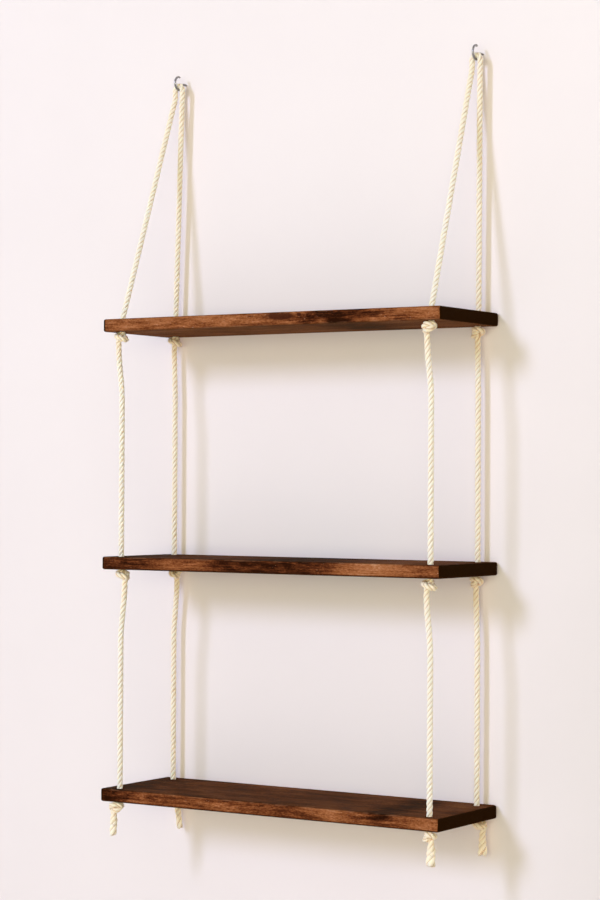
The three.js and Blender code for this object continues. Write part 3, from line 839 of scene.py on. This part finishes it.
def backdrop_material(name, colour, open_to_light, glow):
    """Shows from its front side; open to light, it keeps the shadow but blocks no lamp."""
    material, tree = new_material(name)
    point = add(tree, "ShaderNodeTexCoord").outputs["Object"]
    across, depth, rise = split(tree, point)
    mottled = fade(tree, noise(tree, point, MOTTLE_SCALE, 3), *MOTTLE_RANGE)
    tint = mix(tree, mottled, tuple(MOTTLE_SHADE * c for c in colour), colour)
    # Painted shade: darker towards the bottom, where the light falls off
    tint = tinted(tree, fade(tree, rise, *LOW_RANGE), tint, LOW_SHADE_TINT)
    # Painted shade: darker towards the lower right of the wall
    corner = times(tree, fade(tree, across, *CORNER_ACROSS), fade(tree, rise, *CORNER_DOWN))
    tint = tinted(tree, corner, tint, CORNER_SHADE_TINT)
    # The floor is darker where it nears the lamps, or it would be white there
    tint = tinted(tree, fade(tree, depth, *LAMPS_RANGE), tint, LAMPS_TINT)
    relief = bump(tree, noise(tree, point, PLASTER_SCALE, 2), *PLASTER_BUMP)
    shown = add(tree, "ShaderNodeBsdfDiffuse", {"Color": tint, "Normal": relief}).outputs[0]
    clear = add(tree, "ShaderNodeBsdfTransparent").outputs[0]
    behind = add(tree, "ShaderNodeNewGeometry").outputs["Backfacing"]
    seen = calc(tree, "SUBTRACT", 1.0, behind)
    if open_to_light:
        seen = times(tree, seen, looks(tree))
    if glow:
        values = {"Color": tint, "Strength": times(tree, looks(tree), glow)}
        pale = add(tree, "ShaderNodeEmission", values).outputs[0]
        shown = add(tree, "ShaderNodeAddShader", {0: shown, 1: pale}).outputs[0]
    share = add(tree, "ShaderNodeMixShader", {0: seen, 1: clear, 2: shown})
    add(tree, "ShaderNodeOutputMaterial", {"Surface": share.outputs[0]})
    return material


def backdrop(name, corners, material):
    mesh = bpy.data.meshes.new(name)
    mesh.from_pydata(corners, [], [(0, 1, 2, 3)])
    mesh.materials.append(material)
    link(bpy.data.objects.new(name, mesh))


# Lamps: the way their light goes, distance, width and height, level and colour
LAMPS = {
    "key": ((0.27, 1, -0.37), 14, (2.0, 3.6), 0.55, (0.62, 0.69, 1.0)),
    "fill": ((-0.35, 1, 0.12), 8, (6, 5), 0.79, (1.0, 0.95, 0.665)),
}
LAMPS_CENTRE = (0, -0.09, -0.6)
# The world's light from before the object, from above it, and from the pale wall behind it
FRONT_LIGHT, TOP_LIGHT, WALL_LIGHT = 0.685, 0.272, 1.31
FRONT_COLOUR, WALL_LIGHT_COLOUR = (1.0, 0.955, 0.75), (0.90, 0.76, 0.72)
TOP_RANGE, BEHIND_RANGE = (-0.05, 0.7), (-0.1, 0.25)


def lamp(name, towards, distance, size, level, colour):
    """A soft oval lamp that lights a facing white surface to a given level."""
    data = bpy.data.lights.new(name, "AREA")
    data.shape = "ELLIPSE"
    data.size, data.size_y = size
    data.energy = level * math.pi**2 * distance**2
    data.color = colour
    made = link(bpy.data.objects.new(name, data))
    away = -Vector(towards).normalized()
    made.location = Vector(LAMPS_CENTRE) + away * distance
    made.rotation_mode = "QUATERNION"
    made.rotation_quaternion = away.to_track_quat("Z", "Y")


def make_world():
    """Looks as pale as the wall, and lights the object from each side at its own level."""
    world = bpy.data.worlds.new("studio")
    world.use_nodes = True
    bpy.context.scene.world = world
    tree = world.node_tree
    tree.nodes.clear()
    _, depth, height = split(tree, add(tree, "ShaderNodeTexCoord").outputs["Generated"])
    behind = fade(tree, depth, *BEHIND_RANGE)
    strength = fade(tree, height, *TOP_RANGE, FRONT_LIGHT, TOP_LIGHT)
    values = {0: behind, 2: strength, 3: WALL_LIGHT}
    strength = add(tree, "ShaderNodeMix", values, data_type="FLOAT").outputs[0]
    colour = mix(tree, behind, FRONT_COLOUR, WALL_LIGHT_COLOUR)
    soft = add(tree, "ShaderNodeBackground", {"Color": colour, "Strength": strength})
    pale = add(tree, "ShaderNodeBackground", {"Color": (*WALL, 1), "Strength": 1.0})
    both = {0: looks(tree), 1: soft.outputs[0], 2: pale.outputs[0]}
    surface = add(tree, "ShaderNodeMixShader", both).outputs[0]
    add(tree, "ShaderNodeOutputWorld", {"Surface": surface})


# The scene, ropes first
bpy.context.scene.view_settings.view_transform = "Standard"
make_camera()
cotton = cotton_material("cotton_rope", *ROPE_YARNS)
cotton_yarn = cotton_material("cotton_yarn", *LOOSE_YARNS)
zinc = zinc_material()

for index, side in enumerate(("left", "right")):
    rope, path, length, ends = rope_piece(side, ROPE_SEED_STEP * index, cotton)
    frays = []
    for place, end in zip(("front", "back"), ends):
        corner = f"{side}_{place}"
        seed = FRAY_SEED + FRAY_SEED_STEP * index + len(frays)
        frays.append(frayed_end(corner + "_frayed_end", end, seed, cotton_yarn, *FRAYS[corner]))
    for piece in (rope, *frays):
        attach(piece, "top_board_and_ropes")
    own = [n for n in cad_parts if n.startswith(side) and n != side + "_screw_hook"]
    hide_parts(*own)
    hook = hook_piece(side, zinc)
    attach(hook, "wall_hooks")
    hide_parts(side + "_screw_hook")

for name, finish in BOARDS.items():
    material = wood_material(name + "_wood", *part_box(name), *finish)
    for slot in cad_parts[name].material_slots:
        slot.material = material

wall = backdrop_material("wall", WALL, True, 0)
floor = backdrop_material("floor", FLOOR, False, FLOOR_GLOW)
backdrop("wall", [
    (-FAR, WALL_Y, FLOOR_Z), (FAR, WALL_Y, FLOOR_Z),
    (FAR, WALL_Y, FAR / 2), (-FAR, WALL_Y, FAR / 2),
], wall)
backdrop("floor", [
    (-FAR, -FAR, FLOOR_Z), (FAR, -FAR, FLOOR_Z), (FAR, FAR, FLOOR_Z), (-FAR, FAR, FLOOR_Z),
], floor)
for name, values in LAMPS.items():
    lamp(name, *values)
make_world()

bpy.context.view_layer.update()
